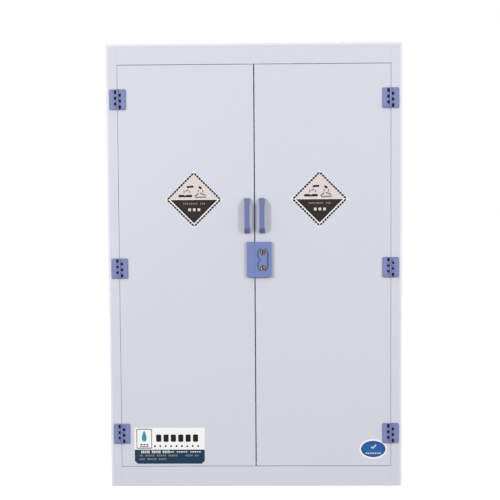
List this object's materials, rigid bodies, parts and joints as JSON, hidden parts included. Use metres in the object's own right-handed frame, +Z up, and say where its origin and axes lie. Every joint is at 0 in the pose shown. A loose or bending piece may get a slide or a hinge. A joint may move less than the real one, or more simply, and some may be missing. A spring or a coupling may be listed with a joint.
{
  "type": "corrosives storage cabinet",
  "caption": "Tall white plastic safety storage cabinet with outward double doors on blue hinges, bow handles, a double key lock, tray shelves and a spill sump.",
  "frame": {"origin": "centre of the base on the floor", "axes": "+Z up, -Y out of the doors, +X to the right of someone facing the doors"},
  "size_m": [1.09, 0.498, 1.65],
  "materials": {
    "white_sheet": "satin cool-white polypropylene sheet",
    "white_fitting": "satin moulded white polypropylene",
    "blue_hinge": "satin moulded slate-blue plastic",
    "blue_fitting": "satin moulded blue plastic",
    "stainless": "brushed stainless steel",
    "brass": "worn satin brass",
    "label_film": "printed vinyl film"
  },
  "bodies": {
    "carcass": {"back_panel": "white_sheet", "base_runners": "white_sheet", "bottom_rail": "white_sheet", "door_sill": "white_sheet", "frame_hinge_covers": "blue_hinge", "frame_hinge_screws": "stainless", "head_jamb": "white_sheet", "hinge_pins": "stainless", "left_frame_hinge_leaves": "blue_hinge", "left_jamb": "white_sheet", "left_side_panel": "white_sheet", "left_stile": "white_sheet", "left_stop": "white_sheet", "lower_shelf_board": "white_sheet", "lower_shelf_lips": "white_sheet", "middle_shelf_board": "white_sheet", "middle_shelf_lips": "white_sheet", "right_frame_hinge_leaves": "blue_hinge", "right_jamb": "white_sheet", "right_side_panel": "white_sheet", "right_stile": "white_sheet", "right_stop": "white_sheet", "shelf_clips": "white_fitting", "shelf_standards": "white_fitting", "sump_dam": "white_sheet", "sump_floor": "white_sheet", "top_panel": "white_sheet", "top_rail": "white_sheet", "top_stop": "white_sheet", "upper_shelf_board": "white_sheet", "upper_shelf_lips": "white_sheet"},
    "left_door": {"left_door_edge_strips": "white_sheet", "left_door_hinge_covers": "blue_hinge", "left_door_hinge_leaves": "blue_hinge", "left_door_hinge_screws": "stainless", "left_door_inner_panel": "white_sheet", "left_door_outer_panel": "white_sheet", "left_door_ribs": "white_sheet", "left_fitting_screws": "stainless", "left_handle": "blue_fitting", "keeper_block": "blue_fitting", "left_placard": "label_film", "information_plate": "label_film"},
    "right_door": {"right_door_edge_strips": "white_sheet", "right_door_hinge_covers": "blue_hinge", "right_door_hinge_leaves": "blue_hinge", "right_door_hinge_screws": "stainless", "right_door_inner_panel": "white_sheet", "right_door_outer_panel": "white_sheet", "right_door_ribs": "white_sheet", "right_fitting_screws": "stainless", "right_handle": "blue_fitting", "lock_case": "blue_fitting", "lock_sleeves": "brass", "right_placard": "label_film", "oval_label": "label_film"},
    "upper_lock": {"upper_lock_plug": "brass", "upper_lock_cam": "stainless"},
    "lower_lock": {"lower_lock_plug": "brass", "lower_lock_cam": "stainless"}
  },
  "joints": [
    {"name": "left_door_swing", "type": "hinge", "parent": "carcass", "child": "left_door", "pos_m": [-0.503, -0.236, 0.8225], "axis": [0, 0, -1], "range_deg": [0, 175]},
    {"name": "right_door_swing", "type": "hinge", "parent": "carcass", "child": "right_door", "pos_m": [0.503, -0.236, 0.8225], "axis": [0, 0, 1], "range_deg": [0, 175]},
    {"name": "upper_lock_turn", "type": "hinge", "parent": "right_door", "child": "upper_lock", "pos_m": [0.0298, -0.24, 0.8814], "axis": [0, 1, 0], "range_deg": [0, 90]},
    {"name": "lower_lock_turn", "type": "hinge", "parent": "right_door", "child": "lower_lock", "pos_m": [0.0298, -0.24, 0.8236], "axis": [0, -1, 0], "range_deg": [0, 90]}
  ]
}
